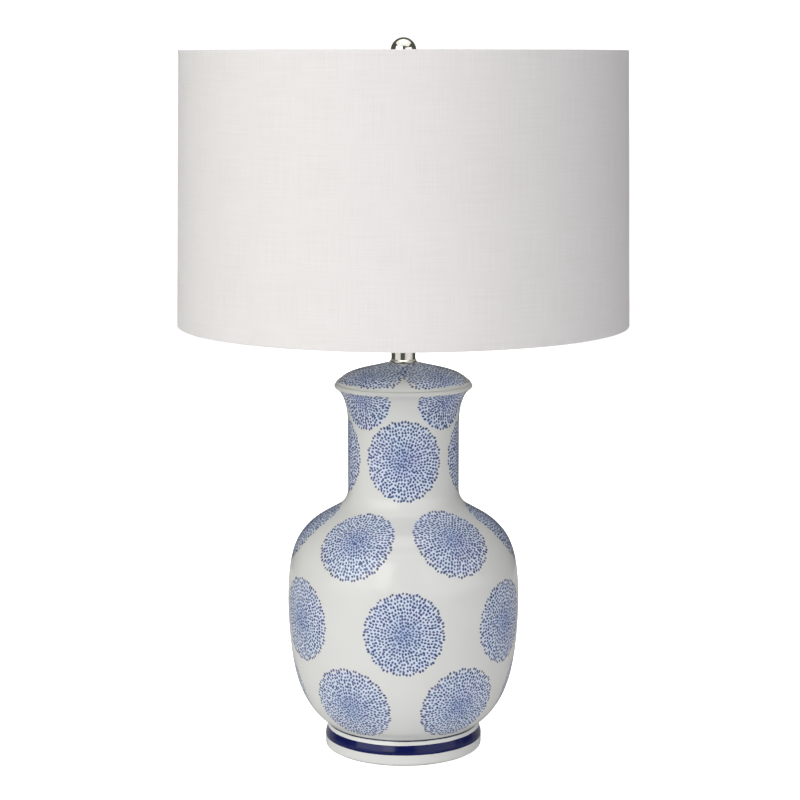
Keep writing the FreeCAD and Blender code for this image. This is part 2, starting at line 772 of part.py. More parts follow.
def hem_corners(at_top):
    """Corners of the linen where it folds round a ring and lies back on the inside of the liner."""
    around = ring_wire_r + glue_gap
    inner_face = liner_in + liner_thickness + glue_gap
    far = ring_in + around + linen_thickness
    outside = [(0, 0, 0.5), (far, 0, around + linen_thickness - 0.1),
               (far, ring_down + around + linen_thickness, 1.6),
               (inner_face + linen_thickness, ring_down + 2.6 * around, 0.8),
               (inner_face + linen_thickness, hem_depth), (inner_face, hem_depth)]
    inside = [(inner_face, ring_down + 1.9 * around, 0.4),
              (ring_in + around, ring_down + around, 0.9),
              (ring_in + around, linen_thickness, around - 0.1), (linen_thickness, linen_thickness)]
    corners = []
    for corner in outside + inside:
        corners.append(shade_spot(corner[0], corner[1], at_top) + tuple(corner[2:]))
    return corners


def shade_linen(arms):
    """The linen cover, one piece with both hems, slit where the three arms pass."""
    outline = hem_corners(True) + hem_corners(False)[::-1]
    start = shade_spot(0, shade_height / 2, True)
    return turned(chain([start] + outline + [start])).cut(arms)


def shade_liner():
    low = linen_thickness + glue_gap
    return turned(closed([shade_spot(liner_in, low, False), shade_spot(liner_in, low, True),
                          shade_spot(liner_in + liner_thickness, low, True),
                          shade_spot(liner_in + liner_thickness, low, False)]))


def shade_ring(at_top):
    radius, height = shade_spot(ring_in, ring_down, at_top)
    return Part.makeTorus(radius, ring_wire_r, V(0, 0, height))


def spider_arm(radius):
    """One arm from the hub's rim, level at first and then up to the middle of the top ring."""
    ring_r, ring_z = shade_spot(ring_in, ring_down, True)
    level = hub_z + hub_thickness / 2
    edges = chain([(hub_r, level), (arm_flat_end, level, arm_bend), (ring_r, ring_z)])
    return wire_along(edges, radius, spot(hub_r, level), V(1, 0, 0))


def around_arms(shape):
    """The same shape at each arm's angle."""
    copies = []
    for i in range(arm_count):
        copy = shape.copy()
        copy.rotate(V(0, 0, 0), AXIS, arm_first_angle + 360 * i / arm_count)
        copies.append(copy)
    return Part.makeCompound(copies)


def spider_arms():
    hub = Part.makeCylinder(hub_r, hub_thickness, V(0, 0, hub_z))
    return around_arms(spider_arm(arm_wire_r).cut([shade_ring(True), hub]))


def spider_hub():
    bore_r = stud_thread_r + hub_bore_gap
    top = hub_z + hub_thickness
    return turned(closed([(bore_r, hub_z), (hub_r, hub_z, 0.5), (hub_r, top, 0.5), (bore_r, top)]))


# ---- finial -------------------------------------------------------------------------------------

finial_z = hub_z + hub_thickness
stem_top = finial_z + finial_flange + finial_stem


def finial_base():
    """The threaded insert: a flange on the shade's hub and a stem in the ball."""
    bore_r = stud_thread_r + thread_gap
    bore_top = hub_z + stud_thread_length + 1.0
    flange_top = finial_z + finial_flange
    return turned(closed([(bore_r, finial_z), (finial_flange_r, finial_z, 0.5),
                          (finial_flange_r, flange_top, 0.8), (finial_stem_r, flange_top),
                          (finial_stem_r, stem_top, 0.5), (0, stem_top),
                          (0, bore_top), (bore_r, bore_top)]))


def finial_ball():
    """A ball on a short collar, with a blind bore for the stem."""
    crown = finial_z + finial_rise
    centre = spot(0, crown - finial_ball_r)
    collar_z = finial_z + finial_flange + loose_gap
    join_angle = -math.degrees(math.acos(finial_waist_r / finial_ball_r))
    ball_arc = arc_between(centre, finial_ball_r, join_angle, 90)
    join = ball_arc.valueAt(ball_arc.ParameterRange[0])
    bore_r = finial_stem_r + running_gap
    roof = stem_top + loose_gap
    waist_z = collar_z + finial_collar
    collar = chain([(0, crown), (0, roof), (bore_r, roof), (bore_r, collar_z),
                    (finial_collar_r, collar_z, edge_round), (finial_collar_r, waist_z, 0.8),
                    (finial_waist_r, waist_z + 0.6, 0.4), (join.x, join.z)])
    return turned(collar + [ball_arc])


# ---- the lamp -----------------------------------------------------------------------------------

jar = jar_body()
slit_arms = around_arms(spider_arm(arm_wire_r + arm_slit_gap))
ferrule = harp_ferrule()
mouth_ring_r = thread_bore_r + 0.1

nodes = {
    "jar_body": jar,
    "jar_lid": jar_lid(),
    "base_felt": base_felt(),
    "base_gasket": tube(gasket_r, mouth_ring_r, gasket_z, gasket_thickness),
    "base_washer": tube(washer_r, mouth_ring_r, washer_z, washer_thickness),
    "lock_washer": lock_washer(),
    "bottom_nut": hexagon(nut_flats, nut_z, nut_height, thread_bore_r),
    "cord_bushing": cord_bushing(jar),
    "threaded_rod": threaded_rod(),
    "neck_gasket": tube(neck_gasket_r, mouth_ring_r, lid_top, neck_gasket_thickness),
    "neck_ring": neck_ring(),
    "neck_tube": tube(tube_r, tube_r - tube_wall, tube_z, tube_length),
    "neck_cap": tube_cap(),
    "harp_saddle": harp_saddle(),
    "saddle_nut": hexagon(saddle_nut_flats, saddle_nut_z, saddle_nut_height, thread_bore_r),
    "harp_bow": harp_bow(),
    "harp_stud": harp_stud(),
    "harp_ferrule_right": ferrule,
    "harp_ferrule_left": mirrored(ferrule),
    "socket_cap": socket_cap(),
    "socket_set_screw": socket_set_screw(),
    "socket_shell": socket_shell(),
    "socket_liner": socket_liner(),
    "socket_body": socket_body(),
    "terminal_screws": terminal_screws(),
    "screw_shell": screw_shell(),
    "centre_contact": centre_contact(),
    "switch_shaft": switch_shaft(),
    "switch_knob": switch_knob(),
    "bulb_contact": bulb_contact(),
    "bulb_insulator": bulb_insulator(),
    "bulb_screw_base": bulb_screw_base(),
    "bulb_glass": bulb_glass(),
    "spider_hub": spider_hub(),
    "spider_arms": spider_arms(),
    "shade_top_ring": shade_ring(True),
    "shade_bottom_ring": shade_ring(False),
    "shade_liner": shade_liner(),
    "shade_linen": shade_linen(slit_arms),
    "finial_base": finial_base(),
    "finial_ball": finial_ball(),
}

os.makedirs("parts", exist_ok=True)
for name, shape in nodes.items():
    shape.exportStep("parts/" + name + ".step")
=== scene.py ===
"""The looks of a table lamp on a blue and white ginger jar: glaze, brushwork, linen and metals.

Metres, +Z up. The lamp's axis is Z and its front faces -Y. Angles round the lamp start at the front
and grow towards +X. Lengths that are easier to read in millimetres are written as a number times MM.
"""

import json
import math
import random

import bmesh
import bpy
import numpy as np
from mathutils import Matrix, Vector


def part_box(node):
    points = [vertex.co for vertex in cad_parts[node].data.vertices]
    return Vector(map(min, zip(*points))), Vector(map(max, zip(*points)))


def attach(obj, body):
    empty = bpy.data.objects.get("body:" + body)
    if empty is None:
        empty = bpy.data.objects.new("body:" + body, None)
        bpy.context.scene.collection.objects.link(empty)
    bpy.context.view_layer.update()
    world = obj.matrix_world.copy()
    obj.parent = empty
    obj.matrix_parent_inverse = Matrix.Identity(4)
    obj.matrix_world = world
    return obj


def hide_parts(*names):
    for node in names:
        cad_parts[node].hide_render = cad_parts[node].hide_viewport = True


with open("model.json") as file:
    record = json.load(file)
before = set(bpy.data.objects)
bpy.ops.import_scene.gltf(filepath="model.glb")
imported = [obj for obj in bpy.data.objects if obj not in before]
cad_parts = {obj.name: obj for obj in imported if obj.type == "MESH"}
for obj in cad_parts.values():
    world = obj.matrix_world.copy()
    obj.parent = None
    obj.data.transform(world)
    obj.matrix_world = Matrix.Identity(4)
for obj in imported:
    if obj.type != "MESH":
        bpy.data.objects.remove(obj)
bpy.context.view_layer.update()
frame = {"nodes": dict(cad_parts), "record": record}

MM = 0.001

# ---- sizes shared with the solids ---------------------------------------------------------------

FOOT_R = 72.0 * MM
FOOT_INNER_R = 63.0 * MM
FELT_TOP = 1.0 * MM
FOOT_SHOULDER_Z = 13.0 * MM
RECESS_TOP = 19.0 * MM
CREASE = (68.8 * MM, 23.5 * MM)
CREASE_ANGLE = 41.0
BELLY = (105.9 * MM, 143.7 * MM)
NECK_R = 50.5 * MM
NECK_CORNER_Z = 230.7 * MM
NECK_FILLET = 20.0 * MM
SHOULDER_SLOPE = 31.0
FLARE_Z = 300.0 * MM
LIP_R = 62.8 * MM
LIP_Z = 338.6 * MM
LIP_ROUND = 2.1 * MM
LIP_START_ANGLE = -50.0
JAR_WALL = 6.0 * MM
NECK_WALL = 5.5 * MM
ROD_HOLE_R = 5.6 * MM
LID_EDGE_R = 61.2 * MM
LID_EDGE_ROUND = 0.9 * MM
LID_EDGE_ANGLE = 30.0
LID_TOP = 357.8 * MM
LID_FLAT_R = 12.6 * MM
LID_WALL = 5.4 * MM
LID_TOP_SLOPE = 13.0
SPIGOT_R = 44.0 * MM
SPIGOT_WALL = 4.5 * MM
SPIGOT_DEPTH = 12.0 * MM
LID_UNDER_FALL = 6.6 * MM
CORD_HOLE_Z = 10.0 * MM
CORD_HOLE_R = 5.35 * MM

BULB_NECK_R = 13.2 * MM
BULB_NECK_RISE = 6.0 * MM
BULB_BALL_START = -24.0
BULB_WALL = 1.0 * MM

SHADE_BOTTOM_Z = 393.0 * MM
SHADE_TOP_Z = 636.5 * MM
SHADE_BOTTOM_R = 203.2 * MM
SHADE_LEAN = 4.3 / 243.5
LINEN = 0.6 * MM
LINER = 0.5 * MM
GLUE = 0.05 * MM
RING_WIRE_R = 1.6 * MM
HEM_DEPTH = 14.0 * MM

# ---- camera -------------------------------------------------------------------------------------

CAMERA_PLACE = (-0.0031, -1.9632, 0.6277)
CAMERA_FALL = 8.826           # degrees that the view looks down
CAMERA_LENS = 98.43           # millimetres, on a sensor 36 mm wide
CAMERA_SENSOR = 36.0


def make_camera():
    """The photograph's view: a long lens, a little above the lamp's middle, looking slightly down."""
    data = bpy.data.cameras.new("camera")
    data.sensor_width = CAMERA_SENSOR
    data.lens = CAMERA_LENS
    camera = bpy.data.objects.new("camera", data)
    camera.location = CAMERA_PLACE
    camera.rotation_euler = (math.radians(90 - CAMERA_FALL), 0, 0)
    bpy.context.scene.collection.objects.link(camera)
    bpy.context.scene.camera = camera


make_camera()

# ---- outlines -----------------------------------------------------------------------------------


def heading(angle):
    """The direction (r, z) at an angle in degrees from outwards towards up."""
    return np.array([math.cos(math.radians(angle)), math.sin(math.radians(angle))])


def between(start, end, shares):
    """Points whose radius and height lie the given shares of the way from start to end."""
    width, height = end[0] - start[0], end[1] - start[1]
    return [(start[0] + width * out, start[1] + height * up) for out, up in shares]


def arc(centre, radius, start_angle, end_angle, steps):
    """Points on an arc, from one angle in degrees to another."""
    angles = np.linspace(start_angle, end_angle, steps + 1)
    return [np.array(centre) + radius * heading(angle) for angle in angles]


def spline(points, start_way, end_way, steps):
    """Points on a smooth line through points, with its direction at each end."""
    spots = np.array(points)
    count = len(spots)
    chords = np.diff(spots, axis=0)
    gaps = np.sqrt(np.linalg.norm(chords, axis=1))
    rates = np.eye(count)
    sides = np.zeros((count, 2))
    sides[0] = np.array(start_way) * gaps[0]
    sides[-1] = np.array(end_way) * gaps[-1]
    for i in range(1, count - 1):
        before, after = gaps[i - 1], gaps[i]
        rates[i, i - 1:i + 2] = after, 2 * (before + after), before
        sides[i] = 3 * (after * chords[i - 1] / before + before * chords[i] / after)
    speeds = np.linalg.solve(rates, sides)
    line = []
    for i in range(count - 1):
        for t in np.arange(steps) / steps:
            line.append((1 + 2 * t) * (1 - t) ** 2 * spots[i] + t * (1 - t) ** 2 * gaps[i] * speeds[i]
                        + t * t * (3 - 2 * t) * spots[i + 1] - t * t * (1 - t) * gaps[i] * speeds[i + 1])
    return line + [spots[-1]]


def rounded(corners, steps=5):
    """Points along straight lines through corners (r, z) or (r, z, rounding)."""
    spots = [np.array(corner[:2], float) for corner in corners]
    line = [spots[0]]
    for i in range(1, len(spots) - 1):
        rounding = corners[i][2] if len(corners[i]) > 2 else 0
        if rounding == 0:
            line.append(spots[i])
            continue
        back = (spots[i - 1] - spots[i]) / np.linalg.norm(spots[i - 1] - spots[i])
        onward = (spots[i + 1] - spots[i]) / np.linalg.norm(spots[i + 1] - spots[i])
        half_angle = math.acos(np.clip(back @ onward, -1, 1)) / 2
        reach = rounding / math.tan(half_angle)
        halfway = (back + onward) / np.linalg.norm(back + onward)
        centre = spots[i] + halfway * rounding / math.sin(half_angle)
        start, end = spots[i] + back * reach - centre, spots[i] + onward * reach - centre
        for t in np.linspace(0, 1, steps + 1):
            way = start * (1 - t) + end * t
            line.append(centre + way / np.linalg.norm(way) * rounding)
    return line + [spots[-1]]


def evenly(line, step):
    """The same line with points an even distance apart, its ends kept."""
    spots = np.array(line)
    along = np.concatenate([[0], np.cumsum(np.linalg.norm(np.diff(spots, axis=0), axis=1))])
    stations = np.linspace(0, along[-1], max(2, round(along[-1] / step) + 1))
    return [np.array(spot) for spot in zip(np.interp(stations, along, spots[:, 0]),
                                           np.interp(stations, along, spots[:, 1]))]


def inset(line, wall):
    """The line moved sideways, to the left of the way it runs."""
    spots = np.array(line)
    ways = np.gradient(spots, axis=0)
    ways /= np.linalg.norm(ways, axis=1)[:, None]
    return list(spots + wall * np.stack([-ways[:, 1], ways[:, 0]], axis=1))


def foot_outline():
    """The foot's outside, from the table up to the crease under the body."""
    return rounded([(FOOT_INNER_R + 2 * MM, FELT_TOP), (FOOT_R, FELT_TOP, 2.5 * MM),
                    (FOOT_R, FOOT_SHOULDER_Z, 12 * MM), CREASE], 8)


def body_outline():
    """The body from the crease over the belly to the hollow under the neck."""
    reach = NECK_FILLET * math.tan(math.radians(90 - SHOULDER_SLOPE) / 2)
    slope = heading(180 - SHOULDER_SLOPE)
    hollow = (NECK_R - reach * slope[0], NECK_CORNER_Z - reach * slope[1])
    lower = between(CREASE, BELLY, [(0.270, 0.070), (0.527, 0.173), (0.671, 0.259), (0.774, 0.347),
                                    (0.848, 0.438), (0.941, 0.624), (0.987, 0.812)])
    upper = between(BELLY, hollow, [(0.029, 0.272), (0.066, 0.406), (0.144, 0.558), (0.265, 0.687),
                                    (0.450, 0.804), (0.671, 0.894)])
    return spline([CREASE] + lower + [BELLY] + upper + [hollow], heading(CREASE_ANGLE), slope, 12)


def neck_outline():
    """The hollow under the neck, the straight neck and its flare up to the lip's rounding."""
    reach = NECK_FILLET * math.tan(math.radians(90 - SHOULDER_SLOPE) / 2)
    hollow_centre = (NECK_R + NECK_FILLET, NECK_CORNER_Z + reach)
    hollow = arc(hollow_centre, NECK_FILLET, 270 - SHOULDER_SLOPE, 180, 16)
    start = (NECK_R, FLARE_Z)
    end = tuple(np.array([LIP_R - LIP_ROUND, LIP_Z - LIP_ROUND]) + LIP_ROUND * heading(LIP_START_ANGLE))
    flare = between(start, end, [(0.052, 0.327), (0.19, 0.57), (0.49, 0.828), (0.77, 0.94)])
    return hollow + spline([start] + flare + [end], heading(90), heading(90 + LIP_START_ANGLE), 12)


def lip_outline():
    """The lip's rounding, from the flare to the flat that carries the lid."""
    return arc((LIP_R - LIP_ROUND, LIP_Z - LIP_ROUND), LIP_ROUND, LIP_START_ANGLE, 90, 10)


def lid_outline():
    """The lid's dome, from the flat under the metal neck to its lower edge."""
    edge_centre = (LID_EDGE_R - LID_EDGE_ROUND, LIP_Z + LID_EDGE_ROUND)
    edge = arc(edge_centre, LID_EDGE_ROUND, LID_EDGE_ANGLE, -90, 8)
    top = (LID_FLAT_R, LID_TOP)
    flank = between(top, tuple(edge[0]), [(0.325, 0.225), (0.58, 0.395), (0.772, 0.57), (0.888, 0.755),
                                          (0.965, 0.92)])
    dome = spline([top] + flank + [tuple(edge[0])], heading(-LID_TOP_SLOPE),
                  heading(LID_EDGE_ANGLE - 90), 12)
    return evenly(dome, 2 * MM)[:-1] + edge


# ---- meshes -------------------------------------------------------------------------------------


def new_piece(name, verts, faces):
    """A smooth mesh object."""
    mesh = bpy.data.meshes.new(name)
    mesh.from_pydata([tuple(v) for v in verts], [], faces)
    mesh.update()
    mesh.shade_smooth()
    piece = bpy.data.objects.new(name, mesh)
    bpy.context.scene.collection.objects.link(piece)
    return piece


def square(name, half, height):
    """A level square round the lamp's axis."""
    corners = [(x * half, y * half, height) for x, y in ((-1, -1), (1, -1), (1, 1), (-1, 1))]
    return new_piece(name, corners, [(0, 1, 2, 3)])


def around(radius, angle, height):
    """Places at a radius, an angle from the front and a height, as rows of x, y, z."""
    return np.stack([radius * np.sin(angle), -radius * np.cos(angle), height + 0 * angle], axis=-1)


def ring_faces(rows, columns, bands):
    """The faces between rings of points, in a number of bands. The last ring may meet the first."""
    faces = []
    for i in range(bands):
        here, above = i * columns, (i + 1) % rows * columns
        for j in range(columns):
            beside = (j + 1) % columns
            faces.append((here + j, here + beside, above + beside, above + j))
    return faces


def lathe(name, outline, columns, closed=True, shape=None):
    """An outline turned about the lamp's axis. shape moves each ring's points in radius and height."""
    spots = np.array(outline)
    rows = len(spots)
    angles = np.arange(columns) * 2 * math.pi / columns
    radius = np.repeat(spots[:, :1], columns, axis=1)
    height = np.repeat(spots[:, 1:], columns, axis=1)
    if shape:
        radius, height = shape(radius, height, angles[None, :])
    verts = around(radius, angles[None, :] + 0 * radius, height).reshape(-1, 3)
    return new_piece(name, verts, ring_faces(rows, columns, rows if closed else rows - 1))


def close_poles(piece):
    """Joins the points that an outline's end on the axis leaves in one place."""
    work = bmesh.new()
    work.from_mesh(piece.data)
    bmesh.ops.remove_doubles(work, verts=work.verts, dist=1e-7)
    work.to_mesh(piece.data)
    work.free()


def write_values(piece, name, values):
    """One number for each vertex, which the piece's material reads."""
    attribute = piece.data.attributes.new(name, "FLOAT", "POINT")
    attribute.data.foreach_set("value", np.asarray(values, np.float32))


def cut_hole(piece, radius, height, start_y, end_y):
    """Cuts a round hole along Y through a piece, from one depth to another."""
    bpy.ops.mesh.primitive_cylinder_add(vertices=48, radius=radius, depth=end_y - start_y,
                                        location=(0, (start_y + end_y) / 2, height),
                                        rotation=(math.pi / 2, 0, 0))
    cutter = bpy.context.object
    hole = piece.modifiers.new("hole", "BOOLEAN")
    hole.operation = "DIFFERENCE"
    hole.object = cutter
    bpy.context.view_layer.update()
    cut = bpy.data.meshes.new_from_object(piece.evaluated_get(bpy.context.evaluated_depsgraph_get()))
    piece.modifiers.clear()
    piece.data = cut
    bpy.data.objects.remove(cutter)


# ---- materials ----------------------------------------------------------------------------------


class Paint:
    """A node material round one Principled shader, with what its patterns are made of."""

    def __init__(self, name, colour, roughness, metallic=0.0, **more):
        self.material = bpy.data.materials.new(name)
        self.material.use_nodes = True
        self.nodes = self.material.node_tree.nodes
        self.links = self.material.node_tree.links
        self.shader = self.nodes["Principled BSDF"]
        self.put("Base Color", (*colour, 1))
        self.put("Roughness", roughness)
        self.put("Metallic", metallic)
        for socket, value in more.items():
            self.put(socket.replace("_", " "), value)

    def put(self, socket, value):
        """Sets a socket of the shader to a number or colour, or links a pattern to it."""
        if isinstance(value, bpy.types.NodeSocket):
            self.links.new(value, self.shader.inputs[socket])
        else:
            self.shader.inputs[socket].default_value = value

    def add(self, kind, inputs=None, **settings):
        """A node with its settings, and numbers or patterns put into its inputs."""
        node = self.nodes.new(kind)
        for key, value in settings.items():
            setattr(node, key, value)
        for key, value in (inputs or {}).items():
            if isinstance(value, bpy.types.NodeSocket):
                self.links.new(value, node.inputs[key])
            else:
                node.inputs[key].default_value = value
        return node

    def place(self, stretch=(1, 1, 1), uv=None):
        """Coordinates on the piece, in metres times stretch."""
        if uv:
            source = self.add("ShaderNodeUVMap", uv_map=uv).outputs[0]
        else:
            source = self.add("ShaderNodeTexCoord").outputs["Object"]
        return self.add("ShaderNodeMapping", {"Vector": source, "Scale": stretch}).outputs[0]

    def noise(self, scale, stretch=(1, 1, 1), detail=3.0, uv=None):
        """Clouds from 0 to 1, with scale of them to the metre."""
        return self.add("ShaderNodeTexNoise", {"Vector": self.place(stretch, uv), "Scale": scale,
                                               "Detail": detail}).outputs["Fac"]

    def value(self, name):
        """The number that write_values stored on the mesh."""
        return self.add("ShaderNodeAttribute", attribute_name=name).outputs["Fac"]

    def threads(self, stretch, direction):
        """Fine waves that follow a cloth's threads one way, from its weave coordinates."""
        waves = {"Vector": self.place(stretch, "weave"), "Scale": 480.0, "Distortion": 1.2}
        return self.add("ShaderNodeTexWave", waves, bands_direction=direction).outputs["Fac"]

    def span(self, pattern, low, high, start=0.3, end=0.7):
        """A pattern brought to the range from low to high."""
        return self.add("ShaderNodeMapRange", {"Value": pattern, "From Min": start, "From Max": end,
                                               "To Min": low, "To Max": high}).outputs[0]

    def combine(self, operation, first, second):
        """Two patterns added or multiplied."""
        return self.add("ShaderNodeMath", {0: first, 1: second}, operation=operation).outputs[0]

    def mix(self, pattern, first, second):
        """A colour between two others, as the pattern goes from 0 to 1."""
        colours = {"Factor": pattern}
        for key, colour in (("A", first), ("B", second)):
            colours[key] = colour if isinstance(colour, bpy.types.NodeSocket) else (*colour, 1)
        node = self.add("ShaderNodeMix", data_type="RGBA")
        sockets = {"Factor": 0, "A": 6, "B": 7}
        for key, value in colours.items():
            if isinstance(value, bpy.types.NodeSocket):
                self.links.new(value, node.inputs[sockets[key]])
            else:
                node.inputs[sockets[key]].default_value = value
        return node.outputs[2]

    def relief(self, height, depth, strength=1.0):
        """Bump of a given depth in metres."""
        self.put("Normal", self.add("ShaderNodeBump", {"Height": height, "Distance": depth,
                                                       "Strength": strength}).outputs[0])


def glaze_paint():
    """White glaze with a blue wash under the medallions, slightly uneven as fired glaze is."""
    white, cream = (0.735, 0.75, 0.735), (0.71, 0.72, 0.695)
    paint = Paint("glaze", white, 0.12, Specular_IOR_Level=0.3)
    body = paint.mix(paint.span(paint.noise(9), 0, 1), white, cream)
    wash = paint.value("wash")
    thin = paint.mix(paint.span(wash, 0, 1, 0, 0.3), body, (0.65, 0.73, 0.86))
    paint.put("Base Color", paint.mix(paint.span(wash, 0, 1, 0.3, 1), thin, (0.31, 0.41, 0.71)))
    paint.put("Roughness", paint.span(paint.noise(30), 0.09, 0.16))
    paint.relief(paint.noise(24, detail=1.0), 0.25 * MM)
    return paint.material


def cobalt_paint():
    """Cobalt dabs, each with its own strength, under a gloss."""
    pale, deep, violet = (0.17, 0.23, 0.42), (0.045, 0.085, 0.20), (0.085, 0.08, 0.22)
    paint = Paint("cobalt", deep, 0.15, Specular_IOR_Level=0.3)
    strong = paint.mix(paint.span(paint.noise(35), 0, 1, 0.4, 0.65), deep, violet)
    paint.put("Base Color", paint.mix(paint.value("tone"), pale, strong))
    paint.put("Roughness", paint.span(paint.noise(60), 0.12, 0.2))
    return paint.material


def navy_paint():
    """The brushed band round the foot, with streaks along the brush."""
    deep, thin = (0.003, 0.005, 0.055), (0.008, 0.015, 0.11)
    paint = Paint("navy_band", deep, 0.12, Specular_IOR_Level=0.2)
    streaks = paint.span(paint.noise(40, (1, 1, 30)), 0, 1, 0.35, 0.75)
    paint.put("Base Color", paint.mix(streaks, deep, thin))
    paint.put("Roughness", paint.span(paint.noise(50), 0.1, 0.16))
    return paint.material


def line_paint():
    """The thin grey-blue line in the crease above the foot."""
    full, thin = (0.025, 0.03, 0.055), (0.06, 0.07, 0.11)
    paint = Paint("crease_line", full, 0.2)
    paint.put("Base Color", paint.mix(paint.span(paint.noise(120), 0, 1), full, thin))
    return paint.material


def bisque_paint():
    """Unglazed clay under the foot and inside."""
    light, dark = (0.66, 0.62, 0.56), (0.54, 0.50, 0.44)
    paint = Paint("bisque", light, 0.8)
    paint.put("Base Color", paint.mix(paint.span(paint.noise(60, detail=6), 0, 1), light, dark))
    paint.relief(paint.noise(900, detail=4), 0.2 * MM)
    return paint.material


def linen_paint():
    """Off-white linen: crossed threads, with slubs along some of them."""
    shaded, bright = (0.79, 0.778, 0.768), (0.845, 0.835, 0.829)
    paint = Paint("linen", bright, 0.85, Sheen_Weight=0.15, Sheen_Roughness=0.6)
    warp = paint.noise(1.0, (900, 22, 1), 4, "weave")
    weft = paint.noise(1.0, (22, 900, 1), 4, "weave")
    cloud = paint.noise(1.0, (30, 30, 1), 2, "weave")
    threads = paint.combine("ADD", warp, weft)
    tone = paint.combine("ADD", paint.span(threads, 0, 0.8, 0.75, 1.25), paint.span(cloud, 0, 0.2))
    paint.put("Base Color", paint.mix(tone, shaded, bright))
    across = paint.threads((1, 0, 0), "X")
    along = paint.threads((0, 1, 0), "Y")
    height = paint.combine("ADD", paint.combine("MULTIPLY", across, along), threads)
    paint.relief(height, 0.1 * MM, 0.4)
    return paint.material


def felt_paint():
    """White wool felt, a little darker between its fibres."""
    light, dark = (0.78, 0.77, 0.74), (0.62, 0.61, 0.58)
    paint = Paint("felt", light, 0.95, Sheen_Weight=0.4)
    paint.put("Base Color", paint.mix(paint.span(paint.noise(400, detail=6), 0, 1), light, dark))
    paint.relief(paint.noise(2500, detail=4), 0.3 * MM)
    return paint.material


def metal_paint(name, colour, dull, low, high, grain=(1, 1, 1), grain_scale=300, depth=0.01):
    """A bare metal: its colour clouds a little and its roughness varies from low to high."""
    paint = Paint(name, colour, low, 1.0)
    paint.put("Base Color", paint.mix(paint.span(paint.noise(45, detail=5), 0, 1), colour, dull))
    paint.put("Roughness", paint.span(paint.noise(grain_scale, grain, 5), low, high))
    paint.relief(paint.noise(grain_scale, grain, 2), depth * MM, 0.5)
    return paint.material


def plastic_paint(name, colour, worn, low, high, scale=80, depth=0.02, **more):
    """A moulded, rubbery or painted surface with a fine, slightly uneven skin."""
    paint = Paint(name, colour, low, **more)
    paint.put("Base Color", paint.mix(paint.span(paint.noise(scale / 4, detail=5), 0, 1), colour, worn))
    paint.put("Roughness", paint.span(paint.noise(scale), low, high))
    paint.relief(paint.noise(scale * 12, detail=2), depth * MM, 0.5)
    return paint.material


def card_paint():
    """Brown fibre card, as in a socket's insulating sleeve."""
    light, dark = (0.34, 0.24, 0.14), (0.22, 0.14, 0.08)
    paint = Paint("card", light, 0.9)
    paint.put("Base Color", paint.mix(paint.span(paint.noise(300, (1, 1, 4), 6), 0, 1), light, dark))
    paint.relief(paint.noise(1800, detail=4), 0.05 * MM)
    return paint.material


SLOT_PAINTS = {
    "nickel": metal_paint("nickel", (0.70, 0.68, 0.635), (0.66, 0.64, 0.59), 0.09, 0.15, depth=0.001),
    "steel": metal_paint("zinc_steel", (0.60, 0.61, 0.62), (0.48, 0.49, 0.50), 0.28, 0.42,
                         (1, 1, 6), 200, 0.03),
    "brass": metal_paint("brass", (0.78, 0.58, 0.27), (0.62, 0.44, 0.20), 0.2, 0.36,
                         (1, 1, 4), 240, 0.02),
    "aluminium": metal_paint("aluminium", (0.77, 0.77, 0.78), (0.66, 0.66, 0.67), 0.26, 0.4,
                             (1, 1, 8), 260),
    "solder": metal_paint("solder", (0.52, 0.52, 0.53), (0.38, 0.38, 0.39), 0.38, 0.55, depth=0.05),
    "rubber": plastic_paint("rubber", (0.022, 0.022, 0.023), (0.035, 0.034, 0.033), 0.6, 0.8),
    "bushing": plastic_paint("bushing", (0.74, 0.73, 0.70), (0.68, 0.66, 0.62), 0.38, 0.5),
    "insulation": card_paint(),
    "moulding": plastic_paint("black_moulding", (0.018, 0.017, 0.016), (0.03, 0.028, 0.026), 0.22, 0.36),
    "bulb_glass": plastic_paint("frosted_glass", (0.86, 0.86, 0.84), (0.83, 0.83, 0.80), 0.22, 0.32,
                                Subsurface_Weight=0.2, Subsurface_Radius=(0.01, 0.01, 0.01)),
    "styrene": plastic_paint("styrene", (0.87, 0.87, 0.85), (0.84, 0.84, 0.81), 0.28, 0.4, 40, 0.01),
    "white_wire": plastic_paint("white_enamel", (0.80, 0.80, 0.78), (0.75, 0.745, 0.72), 0.3, 0.42),
}


def paint_solids():
    """Gives each carried-over solid the paint of its slot in the record."""
    for part in frame["record"]["subparts"]:
        if part["material_slot"] in SLOT_PAINTS:
            for material_slot in frame["nodes"][part["node"]].material_slots:
                material_slot.material = SLOT_PAINTS[part["material_slot"]]


paint_solids()

# ---- jar and lid --------------------------------------------------------------------------------

JAR_COLUMNS = 216             # points round the jar
ROW_STEP = 2.4 * MM


